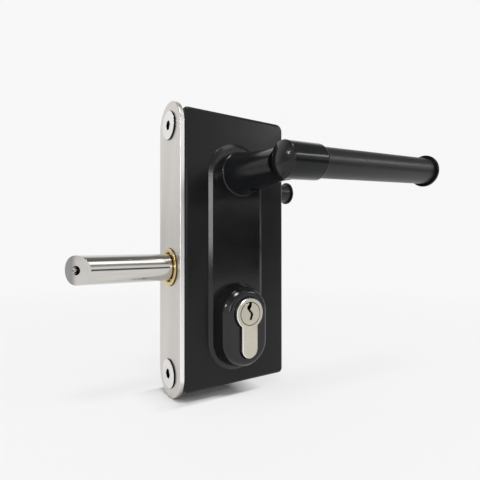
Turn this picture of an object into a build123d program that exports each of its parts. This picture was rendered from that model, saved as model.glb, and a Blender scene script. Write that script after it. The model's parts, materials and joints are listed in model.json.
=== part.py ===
from build123d import *
import math
import os

# Two-sided gate lock: a flat case behind a round-ended faceplate, a long bevelled bolt,
# a lever on each side and a euro profile cylinder.
#
# Frame, in millimetres: the origin is on the faceplate's outer face, on its centre line, at
# the height of the lever spindle. The bolt points along -X, the front side faces -Y, +Z is up.

# Case and faceplate
backset = 35.0
case_width = 67.7
case_depth = 30.0
case_top = 35.4
case_foot = 42.7
case_wall = 2.5
case_back_radius = 4.5
case_low_radius = 3.0
case_mouth_radius = 2.4
case_edge = 2.2
case_edge_rear = 0.8
faceplate_width = 29.0
faceplate_overlap = 5.45
faceplate_thickness = 2.5
faceplate_edge = 0.6

# Faceplate screws, countersunk with a hexagon socket, and the pillars that they enter
screw_inset = 8.0
screw_shank_r = 4.0
screw_head_r = 8.0
screw_seat_gap = 0.25
screw_proud = 1.0
screw_length = 24.0
screw_hex = 5.0
screw_hex_depth = 3.5
pillar_r = 5.1
pillar_length = 25.0

# Bolt, its bush and its tail
bolt_above_cylinder = 25.3
bolt_r = 7.5
bolt_reach = 49.6
bolt_bevel = 32.0
nose_crown_r = 50.0
tail_clearance = 1.6
bolt_hole_r = 2.4
bolt_hole_depth = 13.0
groove_start = 1.5
groove_width = 2.0
groove_depth = 0.35
tail_bore_r = 4.6
tail_bore_wall = 1.5
running_gap = 0.05
bush_rim_r = 10.6
bush_body_r = 9.6
bush_proud = 1.0
bush_edge = 0.25
bush_inner_x = 7.5
bush_mouth_r = 8.7
bush_mouth_depth = 1.5
bush_hole_gap = 0.25
stud_x = 14.0
stud_r = 3.0
stud_root = 4.0
stud_gap = 1.1

# Gear train from the lever to the bolt
rack_rise = 9.2
pressure_angle = 25.0
sector_teeth = 38
pinion_teeth = 10
addendum_share = 0.8
tooth_relief = 0.15
gear_width = 6.0
sector_first = -1
sector_last = 6
rack_first = -5
rack_last = 1
rack_half_width = 3.7
rack_seat = 6.5
rack_lead = 5.2
rack_screw_r = 1.5
rack_screw_depth = 5.0
pinion_boss_r = 4.4
pinion_boss_half = 5.0
axle_r = 2.5
lever_swing = 45.0

# Follower and spindle
spindle_size = 8.0
spindle_setback = 11.5
journal_r = 8.0
journal_gap = 0.2
collar_r = 11.0
collar_half = 9.0
sector_hole_share = 0.2
sector_hole_angles = (4.0, 24.0, 44.0)

# Raised front and rear plates, roses and cylinder guards
plate_r = 18.35
plate_foot = 16.0
plate_thickness = 1.6
plate_bevel = 2.4
plate_lip = 0.3
rose_r = 12.7
rose_height = 5.2
rose_edge = 1.0
guard_base_r = 16.0
guard_top_r = 14.2
guard_edge = 0.9

# Euro profile cylinder
cylinder_drop = 78.0
cylinder_half = 30.0
cylinder_proud = 2.2
cylinder_r = 8.5
cylinder_lobe_r = 5.0
cylinder_height = 33.0
cylinder_gap = 0.15
cylinder_edge = 0.4
plug_r = 6.5
plug_proud = 0.1
plug_inner = 5.2
cam_slot_half = 5.1
cam_half = 4.9
cam_hub_r = 7.4
cam_nose_r = 15.3
cam_nose_width = 8.0
cam_nose_angle = 30.0
cam_slot_r = 15.8
cylinder_screw_drop = 20.2
cylinder_screw_r = 2.5
cylinder_screw_head_r = 4.6
cylinder_screw_head = 2.1
cylinder_screw_end = 40.5
keyway_depth = 17.0
keyway_left = (
    (-0.9, 6.6), (-0.9, 5.4), (-2.2, 4.0), (-2.2, 2.8), (-0.2, 0.4), (0.2, -0.4), (-0.7, -3.4),
)
keyway_right = ((0.7, -3.4), (1.8, -0.6), (1.5, 0.2), (-0.4, 2.6), (0.4, 3.4), (1.0, 5.6), (0.8, 6.6))

# Lever: neck, hub sleeve, grip tube and two pushed-in end caps
lever_axis = 66.5
lever_rise = 2.8
neck_gap = 0.3
neck_short = 4.5
neck_shape = ((0.0, 12.3), (0.2, 10.9), (0.45, 9.6), (0.7, 8.8), (1.0, 8.6))
spigot_r = 8.0
sleeve_r = 9.0
sleeve_from = -6.3
sleeve_to = 15.5
sleeve_edge = 2.0
grip_r = 7.8
grip_bore_r = 6.3
grip_from = -4.0
grip_to = 104.5
cap_r = 9.5
cap_flange = 1.3
inner_cap_r = 9.1
inner_cap_flange = 0.7
inner_cap_relief = 0.3
cap_dome = 2.6
cap_plug = 8.0
grub_y = 34.0
grub_r = 3.0
grub_length = 5.0

# Deadlock plate with its channel for the bolt's stud
deadlock_lift = 3.4
deadlock_thickness = 3.0
deadlock_gap = 1.5
channel_gap = 0.3
deadlock_margin = 9.7
deadlock_left = 8.0
tongue_width = 8.6
tongue_left = 12.0
tongue_gap = 7.0
leg_width = 10.5
leg_foot = 4.0
lug_thickness = 2.0
guide_inset = 15.0
guide_from_bolt = (5.2, -7.8)
guide_r = 2.5
guide_gap = 0.1
guide_sink = 1.5
guide_reach = 0.7

# Bolt spring and its seat
spring_wire_r = 0.5
spring_r = 3.4
spring_turns = 7
seat_r = 6.0
seat_thickness = 1.5
seat_pin_r = 2.2
seat_pin_length = 22.0

# Rear cover and its screws
cover_screw_inset = 6.7
cover_screw_near = 7.0
cover_screw_above = 17.0
cover_screw_below = 27.0
cover_pillar_r = 4.0
cover_screw_r = 2.0
cover_screw_head_r = 3.8
cover_screw_length = 11.0
cover_screw_hex = 2.5

# Worked out from the sizes above
half_depth = case_depth / 2
case_left = faceplate_thickness
case_right = case_left + case_width
inner_left = case_left + case_wall
inner_right = case_right - case_wall
inner_half = half_depth - case_wall
cylinder_z = -cylinder_drop
case_bottom = cylinder_z - case_foot
case_middle = (case_top + case_bottom) / 2
faceplate_height = case_top - case_bottom + 2 * faceplate_overlap
screw_heights = (case_top - screw_inset, case_bottom + screw_inset)
bolt_z = cylinder_z + bolt_above_cylinder
gear_module = -(bolt_z + rack_rise) / (sector_teeth / 2 + pinion_teeth)
addendum = addendum_share * gear_module
dedendum = gear_module
sector_r = gear_module * sector_teeth / 2
pinion_r = gear_module * pinion_teeth / 2
pinion_z = -(sector_r + pinion_r)
rack_z = pinion_z - pinion_r
bolt_travel = sector_r * math.radians(lever_swing)
plate_face = half_depth + plate_thickness
rose_face = plate_face + rose_height
guard_face = cylinder_half - cylinder_proud
plate_low = cylinder_z - plate_foot
tooth_pitch = math.pi * gear_module
sector_root_r = sector_r - dedendum
sector_hole_r = sector_hole_share * (sector_root_r - collar_r)
sector_hole_at = (collar_r + sector_root_r) / 2
rack_screw_places = [backset + (k + 0.5) * tooth_pitch for k in (rack_first, rack_first + 1)]
rack_start_x = rack_screw_places[0] - rack_lead
tail_bore_x = rack_screw_places[1] + rack_screw_r + tail_bore_wall
bolt_tail_x = inner_right - seat_thickness - tail_clearance - bolt_travel
journal_half = half_depth - journal_gap
spindle_half = lever_axis - spindle_setback
spigot_end = plate_face + neck_gap
neck_start = rose_face + neck_gap
neck_end = lever_axis - neck_short
neck_profile = [(neck_start + share * (neck_end - neck_start), radius) for share, radius in neck_shape]
stud_tip = inner_half - stud_gap
deadlock_far = inner_half - deadlock_gap
deadlock_near = deadlock_far - deadlock_thickness
guide_tip = deadlock_near - guide_reach
guide_x = inner_right - guide_inset
guide_root = half_depth - guide_sink
guide_heights = [bolt_z + rise for rise in guide_from_bolt]
near_screw_x = case_left + cover_screw_near
far_screw_x = case_right - cover_screw_inset
cover_screw_places = (
    (near_screw_x, screw_heights[0] - cover_screw_above),
    (near_screw_x, screw_heights[1] + cover_screw_below),
    (far_screw_x, case_top - cover_screw_inset),
    (far_screw_x, case_bottom + cover_screw_inset),
)


def slab(sketch, low, high):
    """A sketch drawn in X and Z, as a solid between two values of Y."""
    return extrude(Plane.XZ.offset(-high) * sketch, amount=high - low, dir=(0, -1, 0))


def rod_y(x, z, radius, low, high):
    return slab(Pos(x, z) * Circle(radius), low, high)


def rod_x(y, z, radius, low, high):
    return extrude(Plane.YZ.offset(low) * Pos(y, z) * Circle(radius), amount=high - low)


def cone_x(y, z, low, low_r, high, high_r):
    """A cone along X with its own radius at each end."""
    middle = (low + high) / 2
    return Pos(middle, y, z) * Rot(0, 90, 0) * Cone(low_r, high_r, high - low)


def mirrored(part):
    return mirror(part, about=Plane.XZ)


def obround(x, high, low, radius):
    """An upright slot shape between two centres, drawn in X and Z."""
    return Pos(x, (high + low) / 2) * Rot(0, 0, 90) * SlotCenterToCenter(high - low, 2 * radius)


def euro_profile(gap=0.0):
    """The cylinder's outline, a circle over a round-ended lobe, grown by a gap."""
    lobe_z = cylinder_r - cylinder_height + cylinder_lobe_r
    outline = Circle(cylinder_r + gap)
    outline += Pos(0, lobe_z / 2) * Rectangle(2 * (cylinder_lobe_r + gap), -lobe_z)
    outline += Pos(0, lobe_z) * Circle(cylinder_lobe_r + gap)
    return Pos(backset, cylinder_z) * outline


def case_outline(inset=0.0):
    """The case from the front, with wide corners away from the faceplate."""
    width = case_width - 2 * inset
    height = case_top - case_bottom - 2 * inset
    outline = Pos(case_left + case_width / 2, case_middle) * Rectangle(width, height)
    corners = outline.vertices().group_by(Axis.X)[-1].sort_by(Axis.Y)
    outline = fillet(corners[-1], radius=case_back_radius - inset)
    corners = outline.vertices().group_by(Axis.X)[-1].sort_by(Axis.Y)
    outline = fillet(corners[0], radius=case_low_radius - inset)
    if inset == 0:
        corners = outline.vertices().group_by(Axis.X)
        outline = fillet(corners[0], radius=case_mouth_radius)
    return outline


def screw_seats(grow):
    """The two countersinks for the faceplate screws, with the clearance hole behind each."""
    seats = []
    head = screw_head_r + grow
    for height in screw_heights:
        seats.append(cone_x(0, height, 0, head, head - screw_shank_r, screw_shank_r))
        seats.append(rod_x(0, height, screw_shank_r, head - screw_shank_r, inner_left))
    return seats


def side_openings(gap):
    """What passes through both side walls: the follower's journal, the cylinder and the axle."""
    openings = rod_y(backset, 0, journal_r + running_gap, -half_depth, half_depth)
    openings += rod_y(backset, pinion_z, axle_r, -half_depth, half_depth)
    openings += slab(euro_profile(gap), -half_depth, half_depth)
    return openings


def build_case():
    body = slab(case_outline(), -half_depth, half_depth)
    front_edges = body.faces().sort_by(Axis.Y)[0].outer_wire().edges()
    body = fillet(front_edges, radius=case_edge)
    rear_edges = body.faces().sort_by(Axis.Y)[-1].outer_wire().edges()
    body = chamfer(rear_edges, case_edge_rear)
    body -= slab(case_outline(case_wall), -inner_half, half_depth)
    for x, z in cover_screw_places:
        pillar = rod_y(x, z, cover_pillar_r, -inner_half, inner_half)
        corner = slab(case_outline(case_wall), -inner_half, inner_half)
        body += pillar & corner
        body -= rod_y(x, z, cover_screw_r, half_depth - cover_screw_length, inner_half)
    body -= side_openings(cylinder_gap)
    body -= screw_seats(screw_seat_gap)
    body -= rod_x(0, bolt_z, bush_body_r, case_left, inner_left)
    screw_z = cylinder_z - cylinder_screw_drop
    body -= cone_x(0, screw_z, case_left, cylinder_screw_head_r, case_left + cylinder_screw_head, cylinder_screw_r)
    body -= rod_x(0, screw_z, cylinder_screw_r, case_left, inner_left)
    for height in guide_heights:
        body -= rod_y(guide_x, height, guide_r, -guide_root, -inner_half)
    return body


def build_rear_cover():
    cover = slab(case_outline(case_wall), inner_half, half_depth)
    cover -= side_openings(cylinder_gap)
    for x, z in cover_screw_places:
        cover -= rod_y(x, z, cover_screw_r, inner_half, half_depth)
        cover -= cover_head(x, z)
    return cover


def cover_head(x, z):
    """The countersunk head of a cover screw."""
    depth = cover_screw_head_r - cover_screw_r
    cone = Rot(-90, 0, 0) * Cone(cover_screw_r, cover_screw_head_r, depth)
    return Pos(x, half_depth - depth / 2, z) * cone


def build_cover_screws():
    screws = []
    for x, z in cover_screw_places:
        shank = rod_y(x, z, cover_screw_r, half_depth - cover_screw_length, half_depth)
        screw = shank + cover_head(x, z)
        socket = Pos(x, z) * RegularPolygon(cover_screw_hex / 2, 6, major_radius=False)
        screw -= slab(socket, half_depth - cover_screw_hex / 2, half_depth)
        screws.append(screw)
    return Compound(children=screws)


def build_faceplate():
    radius = faceplate_width / 2
    reach = faceplate_height / 2 - radius
    outline = Pos(0, case_middle) * Rot(0, 0, 90) * SlotCenterToCenter(2 * reach, 2 * radius)
    plate = extrude(Plane.YZ * outline, amount=faceplate_thickness)
    front_edges = plate.faces().sort_by(Axis.X)[0].outer_wire().edges()
    plate = fillet(front_edges, radius=faceplate_edge)
    plate -= rod_x(0, bolt_z, bush_rim_r + bush_hole_gap, 0, faceplate_thickness)
    plate -= screw_seats(screw_seat_gap)
    return plate


def build_faceplate_screws():
    """Countersunk screws whose heads stand a little proud of the faceplate."""
    screws = []
    shoulder = screw_head_r + screw_seat_gap - screw_shank_r
    for height in screw_heights:
        screw = rod_x(0, height, screw_head_r, -screw_proud, screw_seat_gap)
        screw += cone_x(0, height, screw_seat_gap, screw_head_r, shoulder, screw_shank_r)
        screw += rod_x(0, height, screw_shank_r, shoulder, screw_length)
        socket = Plane.YZ.offset(-screw_proud) * Pos(0, height)
        hexagon = RegularPolygon(screw_hex / 2, 6, major_radius=False)
        screw -= extrude(socket * hexagon, amount=screw_hex_depth)
        screws.append(screw)
    return Compound(children=screws)


def build_fixing_pillars():
    pillars = []
    for height in screw_heights:
        pillar = rod_x(0, height, pillar_r, inner_left, inner_left + pillar_length)
        pillar -= rod_x(0, height, screw_shank_r, inner_left, inner_left + pillar_length)
        pillars.append(pillar)
    return Compound(children=pillars)


def build_bush():
    bush = rod_x(0, bolt_z, bush_rim_r, -bush_proud, faceplate_thickness)
    rim = bush.faces().sort_by(Axis.X)[0].outer_wire().edges()
    bush = fillet(rim, radius=bush_edge)
    bush += rod_x(0, bolt_z, bush_body_r, faceplate_thickness, bush_inner_x)
    bush -= rod_x(0, bolt_z, bolt_r + running_gap, -bush_proud, bush_inner_x)
    mouth_end = bush_mouth_depth - bush_proud
    bush -= cone_x(0, bolt_z, -bush_proud, bush_mouth_r, mouth_end, bolt_r + running_gap)
    return bush


def build_bolt():
    """A round bolt with a slanting, slightly crowned nose, drilled there and bored at the tail."""
    groove_end = groove_width - groove_start
    lean = math.radians(bolt_bevel)
    side = 2 * bolt_r
    nose_end = side - bolt_reach
    crown_x = nose_crown_r * math.cos(lean) - bolt_reach
    crown_y = nose_crown_r * math.sin(lean)
    crown = Pos(crown_x, crown_y, bolt_z) * Cylinder(nose_crown_r, 2 * side)
    bolt = rod_x(0, bolt_z, bolt_r, -bolt_reach - side, nose_end) & crown
    bolt += rod_x(0, bolt_z, bolt_r, nose_end, bolt_tail_x)
    bolt -= rod_x(0, bolt_z, bolt_hole_r, -bolt_reach - side, -bolt_reach + bolt_hole_depth)
    bolt -= rod_x(0, bolt_z, tail_bore_r, tail_bore_x, bolt_tail_x)
    flat_length = bolt_tail_x - rack_start_x
    flat = Box(flat_length, side, side, align=(Align.MIN, Align.CENTER, Align.MIN))
    bolt -= Pos(rack_start_x, 0, bolt_z + rack_seat) * flat
    for x in rack_screw_places:
        bolt -= rack_screw(x)
    bolt -= rod_y(stud_x, bolt_z, stud_r, -side, -stud_root)
    wiper_groove = rod_x(0, bolt_z, side, -groove_start, groove_end)
    wiper_groove -= rod_x(0, bolt_z, bolt_r - groove_depth, -groove_start, groove_end)
    return bolt - wiper_groove


def rack_screw(x):
    """A screw in a valley of the rack, over the solid part of the bolt."""
    low = bolt_z + rack_seat - rack_screw_depth
    length = rack_z - dedendum - low
    cylinder = Cylinder(rack_screw_r, length, align=(Align.CENTER, Align.CENTER, Align.MIN))
    return Pos(x, 0, low) * cylinder


def build_rack_screws():
    return Compound(children=[rack_screw(x) for x in rack_screw_places])


def build_rack():
    """A straight rack that sits on the flat of the bolt's tail."""
    root = rack_z - dedendum
    seat = bolt_z + rack_seat
    length = bolt_tail_x - rack_start_x
    bar = Pos(rack_start_x + length / 2, (root + seat) / 2) * Rectangle(length, root - seat)
    lean = math.tan(math.radians(pressure_angle))
    half = tooth_pitch / 4 - tooth_relief / 2
    foot = half + dedendum * lean
    tip = half - addendum * lean
    for k in range(rack_first, rack_last + 1):
        middle = backset + k * tooth_pitch
        tooth = Polygon(
            (middle - foot, root),
            (middle + foot, root),
            (middle + tip, rack_z + addendum),
            (middle - tip, rack_z + addendum),
            align=None,
        )
        bar += tooth
    reach = rack_start_x + length / 2
    bar &= Pos(reach, rack_z) * Rectangle(length, 4 * bolt_r)
    rack = slab(bar, -rack_half_width, rack_half_width)
    for x in rack_screw_places:
        rack -= rack_screw(x)
    return rack


def build_stud():
    return rod_y(stud_x, bolt_z, stud_r, -stud_tip, -stud_root)


def involute(angle):
    return math.tan(angle) - angle


def tooth_face(pitch_r, root_r):
    """One gear tooth about the -Z direction, with involute flanks, drawn about the gear's axis."""
    base_r = pitch_r * math.cos(math.radians(pressure_angle))
    tip_r = pitch_r + addendum
    half_angle = (tooth_pitch / 4 - tooth_relief / 2) / pitch_r

    def flank(radius, side):
        turned = math.acos(min(1.0, base_r / radius))
        spread = half_angle + involute(math.radians(pressure_angle)) - involute(turned)
        return radius * math.sin(side * spread), -radius * math.cos(spread)

    start_r = max(base_r, root_r)
    middle_r = (start_r + tip_r) / 2
    inner_r = root_r - dedendum / 2
    inner_x, inner_z = flank(start_r, 1)
    scale = inner_r / start_r
    edges = [
        ThreePointArc(flank(start_r, 1), flank(middle_r, 1), flank(tip_r, 1)),
        Line(flank(tip_r, 1), flank(tip_r, -1)),
        ThreePointArc(flank(tip_r, -1), flank(middle_r, -1), flank(start_r, -1)),
        Line(flank(start_r, -1), (-inner_x * scale, inner_z * scale)),
        Line((-inner_x * scale, inner_z * scale), (inner_x * scale, inner_z * scale)),
        Line((inner_x * scale, inner_z * scale), flank(start_r, 1)),
    ]
    return make_face(edges)


def build_pinion():
    """The idler between the follower's sector and the rack, with a gap at its top and bottom."""
    root_r = pinion_r - dedendum
    gear = Circle(root_r)
    for k in range(pinion_teeth):
        gear += Rot(0, 0, (k + 0.5) * 360 / pinion_teeth) * tooth_face(pinion_r, root_r)
    half = gear_width / 2
    pinion = slab(Pos(backset, pinion_z) * gear, -half, half)
    pinion += rod_y(backset, pinion_z, pinion_boss_r, -pinion_boss_half, pinion_boss_half)
    pinion -= rod_y(backset, pinion_z, axle_r + running_gap, -half_depth, half_depth)
    return pinion


def build_follower():
    """The hub on the square spindle, with a toothed sector that hangs towards the bolt."""
    step = 360 / sector_teeth
    first = (sector_first - 0.5) * step
    last = (sector_last + 0.5) * step
    far = 2 * sector_r
    spokes = [first, (first + last) / 2, last]
    wedge_points = [(0, 0)]
    for angle in spokes:
        turn = math.radians(angle)
        wedge_points.append((far * math.sin(turn), -far * math.cos(turn)))
    sector = Polygon(*wedge_points, align=None) & Circle(sector_root_r)
    for k in range(sector_first, sector_last + 1):
        sector += Rot(0, 0, k * step) * tooth_face(sector_r, sector_root_r)
    for angle in sector_hole_angles:
        turn = math.radians(angle)
        place = Pos(sector_hole_at * math.sin(turn), -sector_hole_at * math.cos(turn))
        sector -= place * Circle(sector_hole_r)
    half = gear_width / 2
    follower = slab(Pos(backset, 0) * sector, -half, half)
    follower += rod_y(backset, 0, collar_r, -collar_half, collar_half)
    follower += rod_y(backset, 0, journal_r, -journal_half, journal_half)
    follower -= slab(spindle_section(), -half_depth, half_depth)
    return follower


def spindle_section():
    """The square of the spindle, turned by the angle at which the levers rest."""
    return Pos(backset, 0) * Rot(0, 0, lever_rise) * Rectangle(spindle_size, spindle_size)


def build_spindle():
    return slab(spindle_section(), -spindle_half, spindle_half)


def build_plate():
    """The raised front plate, a long round-ended plate with a wide bevel."""
    lip = half_depth + plate_lip
    plate = slab(obround(backset, 0, plate_low, plate_r), -lip, -half_depth)
    low = Plane.XZ.offset(lip) * obround(backset, 0, plate_low, plate_r)
    high = Plane.XZ.offset(plate_face) * obround(backset, 0, plate_low, plate_r - plate_bevel)
    plate += loft([low.face(), high.face()], ruled=True)
    plate -= rod_y(backset, 0, journal_r + running_gap, -plate_face, -half_depth)
    plate -= slab(euro_profile(cylinder_gap), -plate_face, -half_depth)
    return plate


def build_rose():
    """The round collar that the lever's neck turns in."""
    rose = rod_y(backset, 0, rose_r, -rose_face, -plate_face)
    rim = rose.faces().sort_by(Axis.Y)[0].outer_wire().edges()
    rose = fillet(rim, radius=rose_edge)
    rose -= rod_y(backset, 0, spigot_r + running_gap, -rose_face, -plate_face)
    return rose


def build_guard():
    """The tapered boss round the cylinder, against drilling and wrenching."""
    low = Plane.XZ.offset(plate_face) * obround(backset, cylinder_z, plate_low, guard_base_r)
    high = Plane.XZ.offset(guard_face) * obround(backset, cylinder_z, plate_low, guard_top_r)
    guard = loft([low.face(), high.face()], ruled=True)
    rim = guard.faces().sort_by(Axis.Y)[0].outer_wire().edges()
    guard = fillet(rim, radius=guard_edge)
    guard -= slab(euro_profile(cylinder_gap), -guard_face, -plate_face)
    return guard


def build_cylinder_body():
    body = slab(euro_profile(), -cylinder_half, cylinder_half)
    for side in (0, -1):
        rim = body.faces().sort_by(Axis.Y)[side].outer_wire().edges()
        body = chamfer(rim, cylinder_edge)
    body -= rod_y(backset, cylinder_z, plug_r + running_gap, -cylinder_half, cylinder_half)
    slot_height = cylinder_r + cam_slot_r
    slot = Box(2 * cylinder_r, 2 * cam_slot_half, slot_height, align=(Align.CENTER, Align.CENTER, Align.MAX))
    body -= Pos(backset, 0, cylinder_z + cylinder_r) * slot
    screw_z = cylinder_z - cylinder_screw_drop
    body -= rod_x(0, screw_z, cylinder_screw_r, backset - cylinder_r, backset + cylinder_r)
    return body


def keyway():
    """The key's crooked slot in the face of a plug, drawn about the plug's axis."""
    return Polygon(*keyway_left, *keyway_right, align=None)


def build_plug():
    face = cylinder_half + plug_proud
    plug = rod_y(backset, cylinder_z, plug_r, -face, -plug_inner)
    rim = plug.faces().sort_by(Axis.Y)[0].outer_wire().edges()
    plug = chamfer(rim, cylinder_edge)
    plug -= slab(Pos(backset, cylinder_z) * keyway(), -face, keyway_depth - face)
    return plug


def build_cam():
    """The cam between the two plugs, with its nose a little to one side of straight down."""
    nose = Rectangle(cam_nose_width, cam_nose_r, align=(Align.CENTER, Align.MAX)) & Circle(cam_nose_r)
    cam = Circle(cam_hub_r) + Rot(0, 0, cam_nose_angle) * nose
    return slab(Pos(backset, cylinder_z) * cam, -cam_half, cam_half)


def build_cylinder_screw():
    z = cylinder_z - cylinder_screw_drop
    neck = case_left + cylinder_screw_head
    screw = cone_x(0, z, case_left, cylinder_screw_head_r, neck, cylinder_screw_r)
    screw += rod_x(0, z, cylinder_screw_r, neck, cylinder_screw_end)
    return screw


def along_lever(distance, sketch, amount):
    """A round section on the lever's axis, pushed out along the lever."""
    plane = Plane(origin=(backset, -lever_axis, 0), x_dir=(0, 1, 0), z_dir=(1, 0, 0))
    return extrude(plane.offset(distance) * sketch, amount=amount)


def raised(part):
    """Turns a level lever piece to the small angle at which the levers rest."""
    return part.rotate(Axis((backset, 0, 0), (0, 1, 0)), -lever_rise)


def build_lever_hub():
    """The neck from the rose and the sleeve that holds the grip, as one casting."""
    start_y, start_r = neck_profile[0]
    end_y, end_r = neck_profile[-1]
    points = [(radius, -y) for y, radius in neck_profile]
    outline = make_face([
        Line((0, -start_y), (start_r, -start_y)),
        Spline(*points),
        Line((end_r, -end_y), (0, -end_y)),
        Line((0, -end_y), (0, -start_y)),
    ])
    neck = revolve(Plane.XY * outline, axis=Axis.Y)
    hub = Pos(backset, 0, 0) * neck
    hub += rod_y(backset, 0, spigot_r, -neck_start, -spigot_end)
    sleeve = along_lever(sleeve_from, Circle(sleeve_r), sleeve_to - sleeve_from)
    rim = sleeve.faces().sort_by(Axis.X)[-1].edges()
    hub += fillet(rim, radius=sleeve_edge)
    hub -= along_lever(sleeve_from - collar_r, Circle(inner_cap_r + inner_cap_relief), collar_r)
    hub -= along_lever(sleeve_from, Circle(grip_r), sleeve_to - sleeve_from)
    hub -= grub_hole(collar_r)
    return raised(hub) - slab(spindle_section(), -spindle_half, -spigot_end)


def grub_hole(length):
    """The radial hole in the underside of the neck, from the spindle outwards."""
    hole = Cylinder(grub_r, length, align=(Align.CENTER, Align.CENTER, Align.MAX))
    return Pos(backset, -grub_y, -spindle_size / 2) * hole


def build_grub():
    screw = grub_hole(grub_length)
    bottom = -spindle_size / 2 - grub_length
    socket = Plane(origin=(backset, -grub_y, bottom), z_dir=(0, 0, 1))
    hexagon = RegularPolygon(grub_r / 2, 6, major_radius=False)
    screw -= extrude(socket * hexagon, amount=grub_length / 2)
    return raised(screw)


def build_grip():
    tube = along_lever(grip_from, Circle(grip_r) - Circle(grip_bore_r), grip_to - grip_from)
    return raised(tube)


def end_cap(seat, rim_r, flange):
    """A domed cap with a flange and a plug, on the X axis, that faces +X from its seat."""
    dome_r = (rim_r ** 2 + cap_dome ** 2) / (2 * cap_dome)
    top = seat + flange + cap_dome
    half_turn = math.asin(rim_r / dome_r) / 2
    shoulder = (top - dome_r + dome_r * math.cos(half_turn), dome_r * math.sin(half_turn))
    outline = make_face([
        Line((seat - cap_plug, 0), (seat - cap_plug, grip_bore_r)),
        Line((seat - cap_plug, grip_bore_r), (seat, grip_bore_r)),
        Line((seat, grip_bore_r), (seat, rim_r)),
        Line((seat, rim_r), (seat + flange, rim_r)),
        ThreePointArc((seat + flange, rim_r), shoulder, (top, 0)),
        Line((top, 0), (seat - cap_plug, 0)),
    ])
    return revolve(outline, axis=Axis.X)


def build_outer_cap():
    return raised(Pos(backset, -lever_axis, 0) * end_cap(grip_to, cap_r, cap_flange))


def build_inner_cap():
    cap = Rot(0, 0, 180) * end_cap(-sleeve_from, inner_cap_r, inner_cap_flange)
    return raised(Pos(backset, -lever_axis, 0) * cap)


def build_axle():
    return rod_y(backset, pinion_z, axle_r, -half_depth, half_depth)


def build_deadlock_plate():
    """A plate that the key lifts, so that the bolt's stud drops into a pocket at either end."""
    run = stud_r + channel_gap
    far_x = stud_x + bolt_travel
    left = deadlock_left
    right = guide_x + leg_width / 2
    leg_x = guide_x - leg_width / 2
    top = bolt_z + deadlock_margin
    bottom = bolt_z - deadlock_margin - deadlock_lift
    foot = cylinder_z + leg_foot
    tongue = cylinder_z + tongue_gap
    tongue_right = tongue_left + tongue_width
    outline = Polygon(
        (left, top), (right, top), (right, foot), (leg_x, foot), (leg_x, bottom),
        (tongue_right, bottom), (tongue_right, tongue), (tongue_left, tongue),
        (tongue_left, bottom), (left, bottom), align=None,
    )
    outline -= Pos((stud_x + far_x) / 2, bolt_z) * SlotCenterToCenter(far_x - stud_x, 2 * run)
    for x in (stud_x, far_x):
        outline -= obround(x, bolt_z, bolt_z - deadlock_lift, run)
    for height in guide_heights:
        outline -= obround(guide_x, height, height - deadlock_lift, guide_r + guide_gap)
    plate = slab(outline, -deadlock_far, -deadlock_near)
    reach = cam_half + deadlock_near
    lug = Box(tongue_width, reach, lug_thickness, align=(Align.MIN, Align.MIN, Align.MIN))
    plate += Pos(tongue_left, -deadlock_near, tongue) * lug
    return plate


def build_guide_pins():
    pins = [rod_y(guide_x, height, guide_r, -guide_root, -guide_tip) for height in guide_heights]
    return Compound(children=pins)


def build_spring_seat():
    seat = rod_x(0, bolt_z, seat_r, inner_right - seat_thickness, inner_right)
    seat += rod_x(0, bolt_z, seat_pin_r, inner_right - seat_pin_length, inner_right)
    return seat


def build_spring():
    """The bolt spring at rest, from the bottom of the bolt's bore to its seat."""
    start = tail_bore_x + spring_wire_r
    length = inner_right - seat_thickness - spring_wire_r - start
    helix = Helix(pitch=length / spring_turns, height=length, radius=spring_r)
    plane = Plane(origin=helix @ 0, z_dir=helix % 0)
    coil = sweep(plane * RegularPolygon(spring_wire_r, 6), path=helix)
    return Pos(start, 0, bolt_z) * Rot(0, 90, 0) * coil


parts = {
    "case_body": build_case(),
    "rear_cover": build_rear_cover(),
    "cover_screws": build_cover_screws(),
    "faceplate": build_faceplate(),
    "faceplate_screws": build_faceplate_screws(),
    "fixing_pillars": build_fixing_pillars(),
    "bolt_bush": build_bush(),
    "bolt": build_bolt(),
    "bolt_rack": build_rack(),
    "rack_screws": build_rack_screws(),
    "bolt_stud": build_stud(),
    "bolt_spring": build_spring(),
    "spring_seat": build_spring_seat(),
    "idler_pinion": build_pinion(),
    "idler_axle": build_axle(),
    "follower": build_follower(),
    "spindle": build_spindle(),
    "cylinder_body": build_cylinder_body(),
    "cylinder_cam": build_cam(),
    "cylinder_screw": build_cylinder_screw(),
    "deadlock_plate": build_deadlock_plate(),
    "guide_pins": build_guide_pins(),
}

sided = {
    "plate": build_plate(),
    "rose": build_rose(),
    "cylinder_guard": build_guard(),
    "cylinder_plug": build_plug(),
    "lever_hub": build_lever_hub(),
    "lever_grip": build_grip(),
    "lever_inner_cap": build_inner_cap(),
    "lever_outer_cap": build_outer_cap(),
    "lever_grub_screw": build_grub(),
}
for name, part in sided.items():
    parts["front_" + name] = part
    parts["rear_" + name] = mirrored(part)

os.makedirs("parts", exist_ok=True)
for name, part in parts.items():
    export_step(part, "parts/" + name + ".step")
print(len(parts), "parts, bolt travel", round(bolt_travel, 3), "mm")
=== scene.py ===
import bpy
import bmesh
import json
import math
from mathutils import Matrix, Vector

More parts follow.
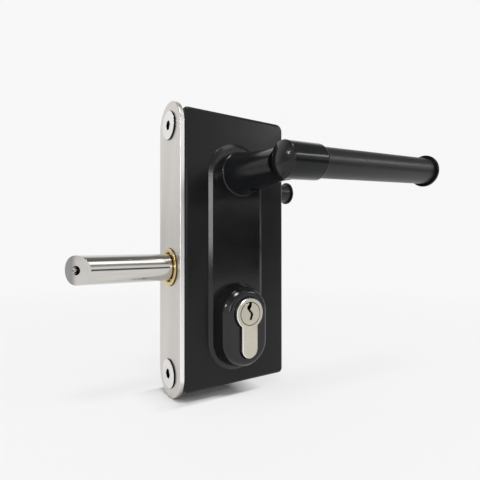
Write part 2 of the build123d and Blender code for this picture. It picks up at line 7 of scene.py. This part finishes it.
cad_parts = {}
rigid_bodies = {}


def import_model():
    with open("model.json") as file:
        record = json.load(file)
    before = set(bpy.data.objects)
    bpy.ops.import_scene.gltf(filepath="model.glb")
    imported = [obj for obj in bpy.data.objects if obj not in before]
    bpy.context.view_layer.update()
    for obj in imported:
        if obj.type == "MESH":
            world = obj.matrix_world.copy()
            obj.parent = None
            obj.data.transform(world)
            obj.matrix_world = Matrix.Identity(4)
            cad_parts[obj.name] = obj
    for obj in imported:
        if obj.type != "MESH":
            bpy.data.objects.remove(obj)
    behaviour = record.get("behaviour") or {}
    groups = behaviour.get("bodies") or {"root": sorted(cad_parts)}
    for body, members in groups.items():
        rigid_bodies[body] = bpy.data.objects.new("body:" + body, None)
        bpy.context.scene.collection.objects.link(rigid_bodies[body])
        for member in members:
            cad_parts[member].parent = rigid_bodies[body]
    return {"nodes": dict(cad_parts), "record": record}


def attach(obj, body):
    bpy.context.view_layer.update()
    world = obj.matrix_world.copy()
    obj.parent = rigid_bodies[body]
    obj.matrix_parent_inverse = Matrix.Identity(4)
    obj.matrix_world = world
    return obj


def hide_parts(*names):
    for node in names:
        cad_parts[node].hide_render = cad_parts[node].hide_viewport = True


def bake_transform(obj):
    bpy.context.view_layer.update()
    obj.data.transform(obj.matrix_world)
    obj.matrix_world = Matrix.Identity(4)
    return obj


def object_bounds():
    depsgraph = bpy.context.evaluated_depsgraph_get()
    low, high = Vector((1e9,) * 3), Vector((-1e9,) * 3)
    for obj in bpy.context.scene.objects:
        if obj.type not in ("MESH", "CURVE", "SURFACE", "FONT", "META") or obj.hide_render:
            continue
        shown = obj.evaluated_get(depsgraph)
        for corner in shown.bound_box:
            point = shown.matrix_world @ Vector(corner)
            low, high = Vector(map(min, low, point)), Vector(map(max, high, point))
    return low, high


for leftover in list(bpy.data.objects):
    bpy.data.objects.remove(leftover)
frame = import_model()
nodes = frame["nodes"]
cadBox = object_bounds()
print("frame loaded,", len(nodes), "nodes")

record = frame["record"]
bodyOf = {node: body for body, members in record["behaviour"]["bodies"].items() for node in members}
perMetre = 1000  # the frame is in metres, while corners and guards below are set in millimetres


def newObject(name, data):
    thing = bpy.data.objects.new(name, data)
    bpy.context.scene.collection.objects.link(thing)
    return thing


def boxOf(node):  # lowest and highest corner, in millimetres
    places = [corner.co * perMetre for corner in nodes[node].data.vertices]
    return [Vector([pick(place[axis] for place in places) for axis in range(3)]) for pick in (min, max)]


# camera, at the height of the lock's middle and well to its left
camera = {
    "place": (-0.08679, -0.20733, -0.03862),
    "turn": -0.57503,  # about the upright, 0 looks along +Y
    "pitch": 0.00534,
    "roll": -0.00064,
    "lens": 29.3325,
    "sensor": 36,  # millimetres wide
    "clip": (0.01, 30),
}


def makeCamera(settings):
    turn, pitch, roll = settings["turn"], settings["pitch"], settings["roll"]
    level = Vector((math.cos(turn), math.sin(turn), 0))
    ahead = Vector((-math.sin(turn) * math.cos(pitch), math.cos(turn) * math.cos(pitch), math.sin(pitch)))
    upright = level.cross(ahead)
    side = level * math.cos(roll) + upright * math.sin(roll)
    up = upright * math.cos(roll) - level * math.sin(roll)
    data = bpy.data.cameras.new("camera")
    data.sensor_width = settings["sensor"]
    data.lens = settings["lens"]
    data.clip_start, data.clip_end = settings["clip"]
    eye = newObject("camera", data)
    axes = Matrix((side, up, -ahead)).transposed()
    eye.matrix_world = Matrix.Translation(settings["place"]) @ axes.to_4x4()
    bpy.context.scene.camera = eye


makeCamera(camera)
print("camera set")


# the steps that materials, floor and surroundings are put together from
noiseRange = (0.3, 0.7)  # most of a noise lies between these


def feed(tree, value, socket):  # a number, a colour or another node's output
    if isinstance(value, bpy.types.NodeSocket):
        tree.links.new(value, socket)
    else:
        socket.default_value = value


def calculate(tree, operation, *values):
    node = tree.nodes.new("ShaderNodeMath")
    node.operation = operation
    for value, socket in zip(values, node.inputs):
        feed(tree, value, socket)
    return node.outputs["Value"]


def vectorStep(tree, operation, *values):
    node = tree.nodes.new("ShaderNodeVectorMath")
    node.operation = operation
    for value, socket in zip(values, node.inputs):
        feed(tree, value, socket)
    return node.outputs["Value" if operation == "LENGTH" else "Vector"]


def alongAxes(tree, vector):  # its outputs are named X, Y and Z
    node = tree.nodes.new("ShaderNodeSeparateXYZ")
    tree.links.new(vector, node.inputs["Vector"])
    return node.outputs


def spread(tree, value, low, high, fromLow=noiseRange[0], fromHigh=noiseRange[1]):  # one range to another
    node = tree.nodes.new("ShaderNodeMapRange")
    node.inputs["From Min"].default_value = fromLow
    node.inputs["From Max"].default_value = fromHigh
    node.inputs["To Min"].default_value = low
    node.inputs["To Max"].default_value = high
    tree.links.new(value, node.inputs["Value"])
    return node.outputs["Result"]


def mixColour(tree, share, first, second):
    node = tree.nodes.new("ShaderNodeMixRGB")
    tree.links.new(share, node.inputs["Fac"])
    feed(tree, first, node.inputs["Color1"])
    feed(tree, second, node.inputs["Color2"])
    return node.outputs["Color"]


def mixShader(tree, share, first, second):
    node = tree.nodes.new("ShaderNodeMixShader")
    tree.links.new(share, node.inputs["Fac"])
    tree.links.new(first, node.inputs[1])
    tree.links.new(second, node.inputs[2])
    return node.outputs["Shader"]


def placed(tree, stretch=(1, 1, 1)):  # Object coordinates, stretched for a grain that runs one way
    where = tree.nodes.new("ShaderNodeTexCoord")
    mapping = tree.nodes.new("ShaderNodeMapping")
    mapping.inputs["Scale"].default_value = stretch
    tree.links.new(where.outputs["Object"], mapping.inputs["Vector"])
    return mapping.outputs["Vector"]


def noise(tree, vector, scale, detail=3.0, rough=0.5):
    texture = tree.nodes.new("ShaderNodeTexNoise")
    texture.inputs["Scale"].default_value = scale
    texture.inputs["Detail"].default_value = detail
    texture.inputs["Roughness"].default_value = rough
    tree.links.new(vector, texture.inputs["Vector"])
    return texture.outputs["Fac"]


def tint(tree, value, darker, lighter):
    ramp = tree.nodes.new("ShaderNodeValToRGB")
    for end, place, colour in zip(ramp.color_ramp.elements, noiseRange, (darker, lighter)):
        end.position = place
        end.color = (*colour, 1)
    tree.links.new(value, ramp.inputs["Fac"])
    return ramp.outputs["Color"]


def bump(tree, shader, height, strength, depth, under=None):  # the depth in metres
    node = tree.nodes.new("ShaderNodeBump")
    node.inputs["Strength"].default_value = strength
    node.inputs["Distance"].default_value = depth
    tree.links.new(height, node.inputs["Height"])
    if under is not None:
        tree.links.new(under, node.inputs["Normal"])
    tree.links.new(node.outputs["Normal"], shader.inputs["Normal"])
    return node.outputs["Normal"]


def newMaterial(name):
    material = bpy.data.materials.new(name)
    material.use_nodes = True
    tree = material.node_tree
    tree.nodes.clear()
    output = tree.nodes.new("ShaderNodeOutputMaterial")
    shader = tree.nodes.new("ShaderNodeBsdfPrincipled")
    tree.links.new(shader.outputs["BSDF"], output.inputs["Surface"])
    return material, tree, shader


# the black finishes, where patch, peel and grain say how fine each pattern is and the bumps how strong
peelDepth = 0.0004  # metres
grainDepth = 0.0001
coats = {
    "caseCoat": {
        "dark": (0.0060, 0.0062, 0.0068), "light": (0.0085, 0.0088, 0.0096), "rough": (0.28, 0.34),
        "gloss": 0.26, "patch": 60, "peel": 900, "peelBump": 0.10, "grain": 3200, "grainBump": 0.10,
    },
    "plateCoat": {
        "dark": (0.0065, 0.0068, 0.0074), "light": (0.0095, 0.0098, 0.0105), "rough": (0.13, 0.18),
        "gloss": 0.45, "patch": 70, "peel": 700, "peelBump": 0.05, "grain": 2600, "grainBump": 0.04,
    },
    "hubCoat": {
        "dark": (0.0075, 0.0080, 0.0090), "light": (0.0105, 0.0110, 0.0120), "rough": (0.14, 0.18),
        "gloss": 0.22, "patch": 80, "peel": 600, "peelBump": 0.03, "grain": 2400, "grainBump": 0.03,
    },
    "leverCoat": {
        "dark": (0.0085, 0.0090, 0.0100), "light": (0.0120, 0.0125, 0.0135), "rough": (0.34, 0.41),
        "gloss": 0.40, "patch": 80, "peel": 600, "peelBump": 0.05, "grain": 2400, "grainBump": 0.05,
    },
    "capNylon": {
        "dark": (0.005, 0.005, 0.006), "light": (0.008, 0.008, 0.009), "rough": (0.15, 0.20),
        "gloss": 0.36, "patch": 90, "peel": 500, "peelBump": 0.03, "grain": 2200, "grainBump": 0.03,
    },
    "blackOxide": {
        "dark": (0.012, 0.012, 0.013), "light": (0.020, 0.020, 0.021), "rough": (0.32, 0.42),
        "gloss": 0.5, "patch": 200, "peel": 900, "peelBump": 0.06, "grain": 3000, "grainBump": 0.06,
    },
}


def coating(name, look):  # powder coat, lacquer or nylon, with orange peel and a finer grain
    material, tree, shader = newMaterial(name)
    where = placed(tree)
    patches = noise(tree, where, look["patch"])
    grain = noise(tree, where, look["grain"], detail=2, rough=0.6)
    peel = noise(tree, where, look["peel"], detail=2)
    tree.links.new(tint(tree, patches, look["dark"], look["light"]), shader.inputs["Base Color"])
    tree.links.new(spread(tree, patches, *look["rough"]), shader.inputs["Roughness"])
    peeled = bump(tree, shader, peel, look["peelBump"], peelDepth)
    bump(tree, shader, grain, look["grainBump"], grainDepth, peeled)
    shader.inputs["Specular IOR Level"].default_value = look["gloss"]
    return material


# the bare metals, where lines and broad say how fine the two patterns are, each with its own stretch,
# lineShare how much of the colour follows the lines, and the entry by depth where the colour turns into a
# painted highlight or painted shade
lineDepth = 0.00005
metals = {
    "faceplateSteel": {
        "dark": (0.60, 0.57, 0.54), "light": (0.74, 0.71, 0.68), "rough": (0.30, 0.42), "bump": 0.25,
        "lines": 40, "stretch": (30, 60, 1), "lineShare": 0.6, "broad": 12, "broadStretch": (2, 6, 1),
        # painted highlight: the faceplate's side edges, past 14.1 mm from its middle, are coloured near white
        "paintedLightByDepth": {"axis": "Y", "start": 0.0141, "full": 0.0144, "colour": (0.98, 0.96, 0.94)},
    },
    "boltSteel": {
        "dark": (0.54, 0.52, 0.49), "light": (0.70, 0.68, 0.65), "rough": (0.08, 0.14), "bump": 0.12,
        "lines": 50, "stretch": (1, 30, 30), "lineShare": 0.6, "broad": 14, "broadStretch": (1, 4, 4),
        # painted shade: the far part of the bolt's slanted nose, past 49.4 mm from the faceplate, is coloured
        # dark grey
        "paintedLightByDepth": {"axis": "X", "start": 0.0494, "full": 0.0510, "colour": (0.31, 0.31, 0.30)},
    },
    "screwFace": {
        "dark": (0.76, 0.75, 0.73), "light": (0.90, 0.89, 0.86), "rough": (0.26, 0.34), "bump": 0.15,
        "lines": 300, "stretch": (4, 1, 1), "lineShare": 0.5, "broad": 60, "broadStretch": (1, 1, 1),
        # painted shade: the screw heads' side walls and hex sockets, within 0.74 mm of the faceplate, are
        # coloured near black
        "paintedLightByDepth": {"axis": "X", "start": 0.00088, "full": 0.00074, "colour": (0.012, 0.012, 0.013)},
    },
    "screwSteel": {
        "dark": (0.68, 0.67, 0.65), "light": (0.84, 0.83, 0.80), "rough": (0.28, 0.38), "bump": 0.15,
        "lines": 300, "stretch": (4, 1, 1), "lineShare": 0.5, "broad": 60, "broadStretch": (1, 1, 1),
    },
    "gearSteel": {
        "dark": (0.28, 0.28, 0.27), "light": (0.42, 0.42, 0.41), "rough": (0.30, 0.42), "bump": 0.2,
        "lines": 200, "stretch": (1, 6, 1), "lineShare": 0.5, "broad": 60, "broadStretch": (1, 1, 1),
    },
    "springSteel": {
        "dark": (0.24, 0.24, 0.25), "light": (0.34, 0.34, 0.35), "rough": (0.25, 0.34), "bump": 0.1,
        "lines": 300, "stretch": (3, 1, 1), "lineShare": 0.5, "broad": 60, "broadStretch": (1, 1, 1),
    },
    "zincPlate": {
        "dark": (0.48, 0.45, 0.36), "light": (0.62, 0.58, 0.48), "rough": (0.32, 0.44), "bump": 0.12,
        "lines": 200, "stretch": (1, 1, 3), "lineShare": 0.4, "broad": 40, "broadStretch": (1, 1, 1),
    },
    "bushBrass": {
        "dark": (0.68, 0.50, 0.20), "light": (0.86, 0.70, 0.36), "rough": (0.28, 0.38), "bump": 0.12,
        "lines": 300, "stretch": (4, 1, 1), "lineShare": 0.5, "broad": 80, "broadStretch": (1, 1, 1),
        # painted shade: the bush's proud outer wall, within 0.45 mm of the faceplate, is coloured dark brown
        "paintedLightByDepth": {"axis": "X", "start": 0.00070, "full": 0.00045, "colour": (0.10, 0.08, 0.05)},
    },
    "satinNickel": {
        "dark": (0.58, 0.55, 0.46), "light": (0.72, 0.68, 0.58), "rough": (0.30, 0.40), "bump": 0.08,
        "lines": 300, "stretch": (1, 1, 1), "lineShare": 0.5, "broad": 80, "broadStretch": (1, 1, 1),
        # painted highlight: the cylinder behind its front face, its rounded rim among it, is coloured near
        # white
        "paintedLightByDepth": {"axis": "Y", "start": 0.02997, "full": 0.0299, "colour": (0.98, 0.97, 0.94)},
    },
    "plugNickel": {
        "dark": (0.58, 0.54, 0.45), "light": (0.70, 0.66, 0.56), "rough": (0.30, 0.40), "bump": 0.08,
        "lines": 300, "stretch": (1, 1, 3), "lineShare": 0.5, "broad": 80, "broadStretch": (1, 1, 1),
        # painted shade: the plug's sides and the groove round it, behind its front face, are coloured near
        # black
        "paintedLightByDepth": {"axis": "Y", "start": 0.03008, "full": 0.03003, "colour": (0.02, 0.02, 0.02)},
    },
}


def paintLightByDepth(tree, colour, settings):  # painted highlight or painted shade by depth; start and full are metres from the middle, to either side of it
    away = calculate(tree, "ABSOLUTE", alongAxes(tree, placed(tree))[settings["axis"]])
    share = spread(tree, away, 0, 1, settings["start"], settings["full"])
    return mixColour(tree, share, colour, (*settings["colour"], 1))


def brushed(name, look):  # metal with fine lines along one way
    material, tree, shader = newMaterial(name)
    lines = noise(tree, placed(tree, look["stretch"]), look["lines"], detail=4, rough=0.65)
    broad = noise(tree, placed(tree, look["broadStretch"]), look["broad"])
    broadPart = calculate(tree, "MULTIPLY", broad, 1 - look["lineShare"])
    mixed = calculate(tree, "MULTIPLY_ADD", lines, look["lineShare"], broadPart)
    colour = tint(tree, mixed, look["dark"], look["light"])
    # painted highlight or painted shade, mixed in by depth along one axis
    if "paintedLightByDepth" in look:
        colour = paintLightByDepth(tree, colour, look["paintedLightByDepth"])
    tree.links.new(colour, shader.inputs["Base Color"])
    tree.links.new(spread(tree, lines, *look["rough"]), shader.inputs["Roughness"])
    bump(tree, shader, lines, look["bump"], lineDepth)
    shader.inputs["Metallic"].default_value = 1
    return material


wearing = {  # the pieces in each finish
    "caseCoat": ["case_body", "rear_cover"],
    "plateCoat": [
        "front_plate", "rear_plate", "front_rose", "rear_rose", "front_cylinder_guard", "rear_cylinder_guard",
    ],
    "hubCoat": ["front_lever_hub", "rear_lever_hub"],
    "leverCoat": ["front_lever_grip", "rear_lever_grip"],
    "capNylon": [
        "front_lever_inner_cap", "front_lever_outer_cap", "rear_lever_inner_cap", "rear_lever_outer_cap",
    ],
    "blackOxide": ["cover_screws", "rack_screws", "front_lever_grub_screw", "rear_lever_grub_screw"],
    "faceplateSteel": ["faceplate"],
    "boltSteel": ["bolt"],
    "screwFace": ["faceplate_screws"],
    "screwSteel": ["fixing_pillars", "idler_axle", "cylinder_screw", "guide_pins"],
    "gearSteel": [
        "bolt_rack", "bolt_stud", "spring_seat", "idler_pinion", "follower", "spindle", "cylinder_cam",
    ],
    "springSteel": ["bolt_spring"],
    "zincPlate": ["deadlock_plate"],
    "bushBrass": ["bolt_bush"],
    "satinNickel": ["cylinder_body"],
    "plugNickel": ["front_cylinder_plug", "rear_cylinder_plug"],
}
finish = {name: coating(name, look) for name, look in coats.items()}
finish.update({name: brushed(name, look) for name, look in metals.items()})
for name, wearers in wearing.items():
    for node in wearers:
        for place in nodes[node].material_slots:
            place.material = finish[name]
print("materials made and worn")


# every piece that shows gets a copy with its corners broken, so that they catch the light
corners = {
    "merge": 0.002,  # millimetres, within which the loose triangles of the solid are joined
    "level": 0.5,  # degrees between faces, up to which they become one
    "steepest": 28,  # degrees between faces, past which a corner is broken
    "square": 60,  # past this it is a square corner, below it the edge of a chamfer
    "steps": 3,
    "widths": {  # in millimetres, for square corners and for the edges of chamfers
        "case_body": (0.15, 0.15), "rear_cover": (0.12, 0.12), "cover_screws": (0.10, 0.10),
        "faceplate": (0.15, 0.25), "faceplate_screws": (0.30, 0.10),
        "bolt_bush": (0.10, 0.10), "bolt": (0.25, 0.40), "cylinder_body": (0.06, 0.27),
        "front_cylinder_plug": (0.40, 0.20), "rear_cylinder_plug": (0.40, 0.20),
        "front_plate": (0.35, 0.50), "rear_plate": (0.35, 0.50),
        "front_rose": (0.15, 0.15), "rear_rose": (0.15, 0.15),
        "front_lever_hub": (0.15, 0.15), "rear_lever_hub": (0.15, 0.15),
        "front_lever_grip": (0.15, 0.15), "rear_lever_grip": (0.15, 0.15),
        "front_lever_inner_cap": (0.30, 0.30), "rear_lever_inner_cap": (0.30, 0.30),
        "front_lever_outer_cap": (0.30, 0.30), "rear_lever_outer_cap": (0.30, 0.30),
    },
}


def mergedCopy(node):
    shape = bmesh.new()
    shape.from_mesh(nodes[node].data)
    bmesh.ops.remove_doubles(shape, verts=shape.verts, dist=corners["merge"] / perMetre)
    return shape


def newPiece(node, ending, shape):  # the shape as a smooth object with the node's finish
    for face in shape.faces:
        face.smooth = True
    mesh = bpy.data.meshes.new(node + ending)
    shape.to_mesh(mesh)
    shape.free()
    if "custom_normal" in mesh.attributes:
        mesh.attributes.remove(mesh.attributes["custom_normal"])
    mesh.materials.clear()
    mesh.materials.append(nodes[node].material_slots[0].material)
    return newObject(node + ending, mesh)


def dress(node, shape, width, steps):  # the shape takes the node's place, with its weighted edges rounded
    piece = newPiece(node, "_dressed", shape)
    edging = piece.modifiers.new("corners", "BEVEL")
    edging.limit_method = "WEIGHT"
    edging.width = width / perMetre
    edging.segments = steps
    edging.harden_normals = True
    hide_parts(node)
    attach(piece, bodyOf[node])


def breakCorners(node, widths, settings):
    square, sloped = widths
    shape = mergedCopy(node)
    level = math.radians(settings["level"])
    bmesh.ops.dissolve_limit(shape, angle_limit=level, verts=shape.verts, edges=shape.edges)
    weight = shape.edges.layers.float.new("bevel_weight_edge")
    for edge in shape.edges:
        turn = math.degrees(edge.calc_face_angle(0))
        edge.smooth = turn < settings["steepest"]
        if not edge.smooth:
            edge[weight] = (square if turn > settings["square"] else sloped) / max(widths)
    dress(node, shape, max(widths), settings["steps"])


for node, widths in corners["widths"].items():
    breakCorners(node, widths, corners)
print("corners broken on", len(corners["widths"]), "pieces")


# the cylinder guards, each with a wide soft rim and a dark gap round the cylinder
guard = {  # in millimetres
    "taper": 1.8,  # how much narrower the face is than the foot
    "slope": (2.2, 2.6),  # how wide and deep the sloping rim is
    "rim": 1.3,  # how far the roundings on both sides of the slope reach
    "rimSteps": 8,
    "flat": 3.7,  # how far the flat band inside the rim's corner reaches
    "gap": 0.7,  # between the cylinder and the guard
    "lobe": 5.0,  # half the width of the cylinder's lower part
    "lobeSteps": 20,
    "merge": 0.05,  # within which the opening's doubled corners are joined
    "openingEdge": 0.15,  # how far the opening's edge is rounded
    "segments": 64,
}


def cylinderRing(shape, settings, depth):  # a circle cut open below and closed by a round-ended lobe
    low, high = boxOf("cylinder_body")
    radius = (high.x - low.x) / 2
    drop = high.z - low.z - radius - settings["lobe"]
    half = settings["lobe"] + settings["gap"]
    grown = radius + settings["gap"]
    cut = -math.sqrt(grown ** 2 - half ** 2)
    bmesh.ops.create_circle(shape, segments=settings["segments"], radius=grown,
                            matrix=Matrix.Rotation(math.pi / 2, 4, "X"))
    bmesh.ops.bisect_plane(shape, geom=shape.verts[:] + shape.edges[:], plane_co=(0, 0, cut),
                           plane_no=(0, 0, -1), clear_outer=True)
    ends = [corner for corner in shape.verts if len(corner.link_edges) == 1]
    feet = bmesh.ops.extrude_vert_indiv(shape, verts=ends)["verts"]
    bmesh.ops.translate(shape, verts=feet, vec=(0, 0, -drop - cut))
    right = max(feet, key=lambda corner: corner.co.x)
    bmesh.ops.spin(shape, geom=[right], cent=(0, 0, -drop), axis=(0, 1, 0), angle=math.pi,
                   steps=settings["lobeSteps"])
    bmesh.ops.remove_doubles(shape, verts=shape.verts, dist=settings["merge"])
    bmesh.ops.translate(shape, verts=shape.verts, vec=((low.x + high.x) / 2, depth, high.z - radius))
    return shape.edges[:]


def roundEnded(shape, segments, radius, reach, centre, depth):  # a standing ring, its lower half moved down
    stand = Matrix.Rotation(math.pi / 2, 4, "X") @ Matrix.Rotation(math.pi / segments, 4, "Z")
    ring = bmesh.ops.create_circle(shape, segments=segments, radius=radius, matrix=stand)["verts"]
    edges = list(dict.fromkeys(edge for corner in ring for edge in corner.link_edges))
    bmesh.ops.translate(shape, verts=[corner for corner in ring if corner.co.z < 0], vec=(0, 0, -reach))
    bmesh.ops.translate(shape, verts=ring, vec=(centre.x, depth, centre.z))
    return edges


def makeGuard(node, settings):
    shape = bmesh.new()
    weight = shape.edges.layers.float.new("bevel_weight_edge")
    low, high = boxOf(node)
    foot, face = (high.y, low.y) if low.y < 0 else (low.y, high.y)
    footRadius = (high.x - low.x) / 2
    faceRadius = footRadius - settings["taper"]
    reach = high.z - low.z - 2 * footRadius
    centre = Vector(((low.x + high.x) / 2, 0, high.z - footRadius))
    opening = cylinderRing(shape, settings, face)
    wide, deep = settings["slope"]
    shoulder = face + math.copysign(deep, foot - face)
    profile = ((footRadius, foot), (faceRadius, shoulder), (faceRadius - wide, face),
               (faceRadius - settings["flat"], face))
    rings = [roundEnded(shape, settings["segments"], radius, reach, centre, depth)
             for radius, depth in profile]
    for outer, inside in zip(rings, rings[1:]):
        bmesh.ops.bridge_loops(shape, edges=outer + inside)
    bmesh.ops.triangle_fill(shape, edges=rings[3] + opening, use_beauty=True)
    walls = bmesh.ops.extrude_edge_only(shape, edges=opening)["geom"]
    bmesh.ops.translate(shape, verts=[part for part in walls if isinstance(part, bmesh.types.BMVert)],
                        vec=(0, foot - face, 0))
    inner = [part for part in walls if isinstance(part, bmesh.types.BMEdge) and len(part.link_faces) == 1]
    bmesh.ops.triangle_fill(shape, edges=rings[0] + inner, use_beauty=True)
    for edge in rings[1] + rings[2]:
        edge[weight] = 1
    for edge in opening:
        edge[weight] = settings["openingEdge"] / settings["rim"]
    bmesh.ops.recalc_face_normals(shape, faces=shape.faces)
    for edge in shape.edges:
        edge.smooth = math.degrees(edge.calc_face_angle(0)) < corners["steepest"]
    bmesh.ops.scale(shape, verts=shape.verts, vec=[1 / perMetre] * 3)
    dress(node, shape, settings["rim"], settings["rimSteps"])


makeGuard("front_cylinder_guard", guard)
makeGuard("rear_cylinder_guard", guard)
print("guards made")


# the bolt spring, as a smooth copy of its coil; on the real lock one end goes in with the bolt while the
# other stays on its seat
def makeSpring(node):
    coil = newPiece(node, "_coil", mergedCopy(node))
    low, high = boxOf(node)
    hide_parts(node)
    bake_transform(coil)


makeSpring("bolt_spring")
print("spring made")


# floor, soft studio light and the pale surroundings, in metres
studio = {
    "floorSize": 3.0,
    "floorColour": (0.84, 0.84, 0.84),
    "floorRough": 0.6,
    "glow": 0.76,  # share of the floor by the lock that is seen as plain light, so that shadows stay faint
    "contactLength": 0.036,  # from the faceplate on, where the shadow under the case is seen in full
    "contact": (0.018, 0.0025),  # along and across, in which that comes to an end
    "fade": (0.12, 0.60),  # from the lock, between which the floor turns into the background
    "frontFade": (0.45, 0.85),  # in front, between which gloss sees the floor end in the dark room
    "darkFloor": 0.10,
    "paleness": 0.935,  # what the camera sees past the floor
    "surround": 0.55,  # how strongly the surroundings light the lock
    "room": (  # what gloss shows, from the front's horizon (0) over the top to the back's (1)
        (0.000, 0.07), (0.028, 0.07), (0.050, 0.90), (0.130, 0.92), (0.165, 0.38), (0.250, 0.35),
        (0.480, 0.14), (0.600, 0.20), (0.720, 0.95), (0.850, 1.00), (0.960, 0.94), (1.000, 0.75),
    ),
    "leftFrom": (-0.65, -0.85),  # the room's left wall begins and is full at these shares of -X
    "leftWall": ((0.25, 0.45), (-0.20, 0.92)),  # a share of Y and the shade there, at its back and front
}
white = (1, 1, 1, 1)


def besideCase(tree, where, settings):  # 0 in the narrow gap under the case, 1 from some way beside it
    low, high = (corner / perMetre for corner in boxOf("case_body"))
    low.x, high.x = 0, settings["contactLength"]
    along, across = settings["contact"]
    middle, half = (low + high) / 2, (high - low) / 2
    aside = vectorStep(tree, "ABSOLUTE", vectorStep(tree, "SUBTRACT", where, (middle.x, middle.y, 0)))
    past = vectorStep(tree, "MAXIMUM", vectorStep(tree, "SUBTRACT", aside, (half.x, half.y, 1)), (0, 0, 0))
    eased = vectorStep(tree, "MULTIPLY", past, (across / along, 1, 1))
    return spread(tree, vectorStep(tree, "LENGTH", eased), 0, 1, 0, across)


def floorFinish(settings):  # camera and gloss see part of it as plain light, but not in the lock's shadow
    material, tree, shader = newMaterial("floor")
    shader.inputs["Base Color"].default_value = (*settings["floorColour"], 1)
    shader.inputs["Roughness"].default_value = settings["floorRough"]
    where = placed(tree)
    ray = tree.nodes.new("ShaderNodeLightPath").outputs
    near, away = settings["frontFade"]
    forward = alongAxes(tree, where)["Y"]
    ahead = spread(tree, forward, settings["paleness"], settings["darkFloor"], -near, -away)
    strength = tree.nodes.new("ShaderNodeMix")
    strength.inputs["A"].default_value = settings["paleness"]
    tree.links.new(ray["Is Glossy Ray"], strength.inputs["Factor"])
    tree.links.new(ahead, strength.inputs["B"])
    plain = tree.nodes.new("ShaderNodeEmission")
    plain.inputs["Color"].default_value = white
    tree.links.new(strength.outputs["Result"], plain.inputs["Strength"])
    fade = spread(tree, vectorStep(tree, "LENGTH", where), settings["glow"], 1, *settings["fade"])
    seen = calculate(tree, "MAXIMUM", ray["Is Camera Ray"], ray["Is Glossy Ray"])
    share = calculate(tree, "MULTIPLY", fade, seen)
    clear = calculate(tree, "MULTIPLY", share, besideCase(tree, where, settings))
    mixed = mixShader(tree, clear, shader.outputs["BSDF"], plain.outputs["Emission"])
    tree.links.new(mixed, tree.nodes["Material Output"].inputs["Surface"])
    return material


def makeFloor(settings):
    shape = bmesh.new()
    bmesh.ops.create_grid(shape, x_segments=2, y_segments=2, size=settings["floorSize"])
    bmesh.ops.translate(shape, verts=shape.verts, vec=(0, 0, cadBox[0].z))
    mesh = bpy.data.meshes.new("floor")
    shape.to_mesh(mesh)
    shape.free()
    mesh.materials.append(floorFinish(settings))
    floor = newObject("floor", mesh)


def roomShade(tree, settings):  # grey bands over the room, by the angle over the lock from front to back
    where = tree.nodes.new("ShaderNodeTexCoord").outputs["Generated"]
    apart = alongAxes(tree, where)
    angle = calculate(tree, "ARCTAN2", apart["Z"], calculate(tree, "MULTIPLY", apart["Y"], -1))
    ramp = tree.nodes.new("ShaderNodeValToRGB")
    bands = ramp.color_ramp.elements
    while len(bands) < len(settings["room"]):
        bands.new(0.5)  # they get their places below
    for band, (place, shade) in zip(bands, settings["room"]):
        band.position = place
        band.color = (shade, shade, shade, 1)
    tree.links.new(spread(tree, angle, 0, 1, 0, math.pi), ramp.inputs["Fac"])
    (backPlace, backShade), (frontPlace, frontShade) = settings["leftWall"]
    wall = spread(tree, apart["Y"], backShade, frontShade, backPlace, frontPlace)
    leftShare = spread(tree, apart["X"], 0, 1, *settings["leftFrom"])
    return mixColour(tree, leftShare, ramp.outputs["Color"], wall)


def background(tree, colour, strength):
    node = tree.nodes.new("ShaderNodeBackground")
    feed(tree, colour, node.inputs["Color"])
    node.inputs["Strength"].default_value = strength
    return node.outputs["Background"]


def makeSurroundings(settings):
    world = bpy.data.worlds.new("studio")
    world.use_nodes = True
    tree = world.node_tree
    tree.nodes.clear()
    output = tree.nodes.new("ShaderNodeOutputWorld")
    ray = tree.nodes.new("ShaderNodeLightPath").outputs
    lit = background(tree, white, settings["surround"])
    seen = background(tree, white, settings["paleness"])
    room = background(tree, roomShade(tree, settings), 1)
    direct = calculate(tree, "MAXIMUM", ray["Is Camera Ray"], ray["Is Transmission Ray"])
    shown = mixShader(tree, ray["Is Glossy Ray"], lit, room)
    tree.links.new(mixShader(tree, direct, shown, seen), output.inputs["Surface"])
    bpy.context.scene.world = world


lamps = {  # places, aims and sizes in metres, powers in watts
    "overheadFront": {
        "place": (0.41, -0.70, 1.00), "aim": (0.41, -0.70, 0), "size": (0.58, 0.60), "power": 1.6,
    },
    "key": {
        "place": (-0.14, -0.40, 1.00), "aim": (0.02, 0, -0.04), "size": (0.30, 0.26), "power": 5.5,
    },
    "overheadRight": {
        "place": (1.17, -1.00, 0.60), "aim": (0.12, -0.066, 0), "size": (0.60, 0.09), "power": 2.4,
    },
    "byCamera": {
        "place": (-0.57, -1.12, 0.09), "aim": (0.02, 0, -0.03), "size": (0.22, 0.34), "power": 1.6,
    },
    "left": {
        "place": (-1.06, 0.11, 0.39), "aim": (0.03, -0.06, 0), "size": (0.10, 0.10), "power": 1.2,
    },
}


def makeLamp(name, settings):
    data = bpy.data.lights.new(name, "AREA")
    data.shape = "RECTANGLE"
    data.size, data.size_y = settings["size"]
    data.energy = settings["power"]
    lamp = newObject(name, data)
    start, end = Vector(settings["place"]), Vector(settings["aim"])
    lamp.rotation_euler = (end - start).to_track_quat("-Z", "Y").to_euler()
    lamp.location = start


makeFloor(studio)
makeSurroundings(studio)
for name, settings in lamps.items():
    makeLamp(name, settings)
bpy.context.scene.view_settings.view_transform = "Standard"
print("studio lit")
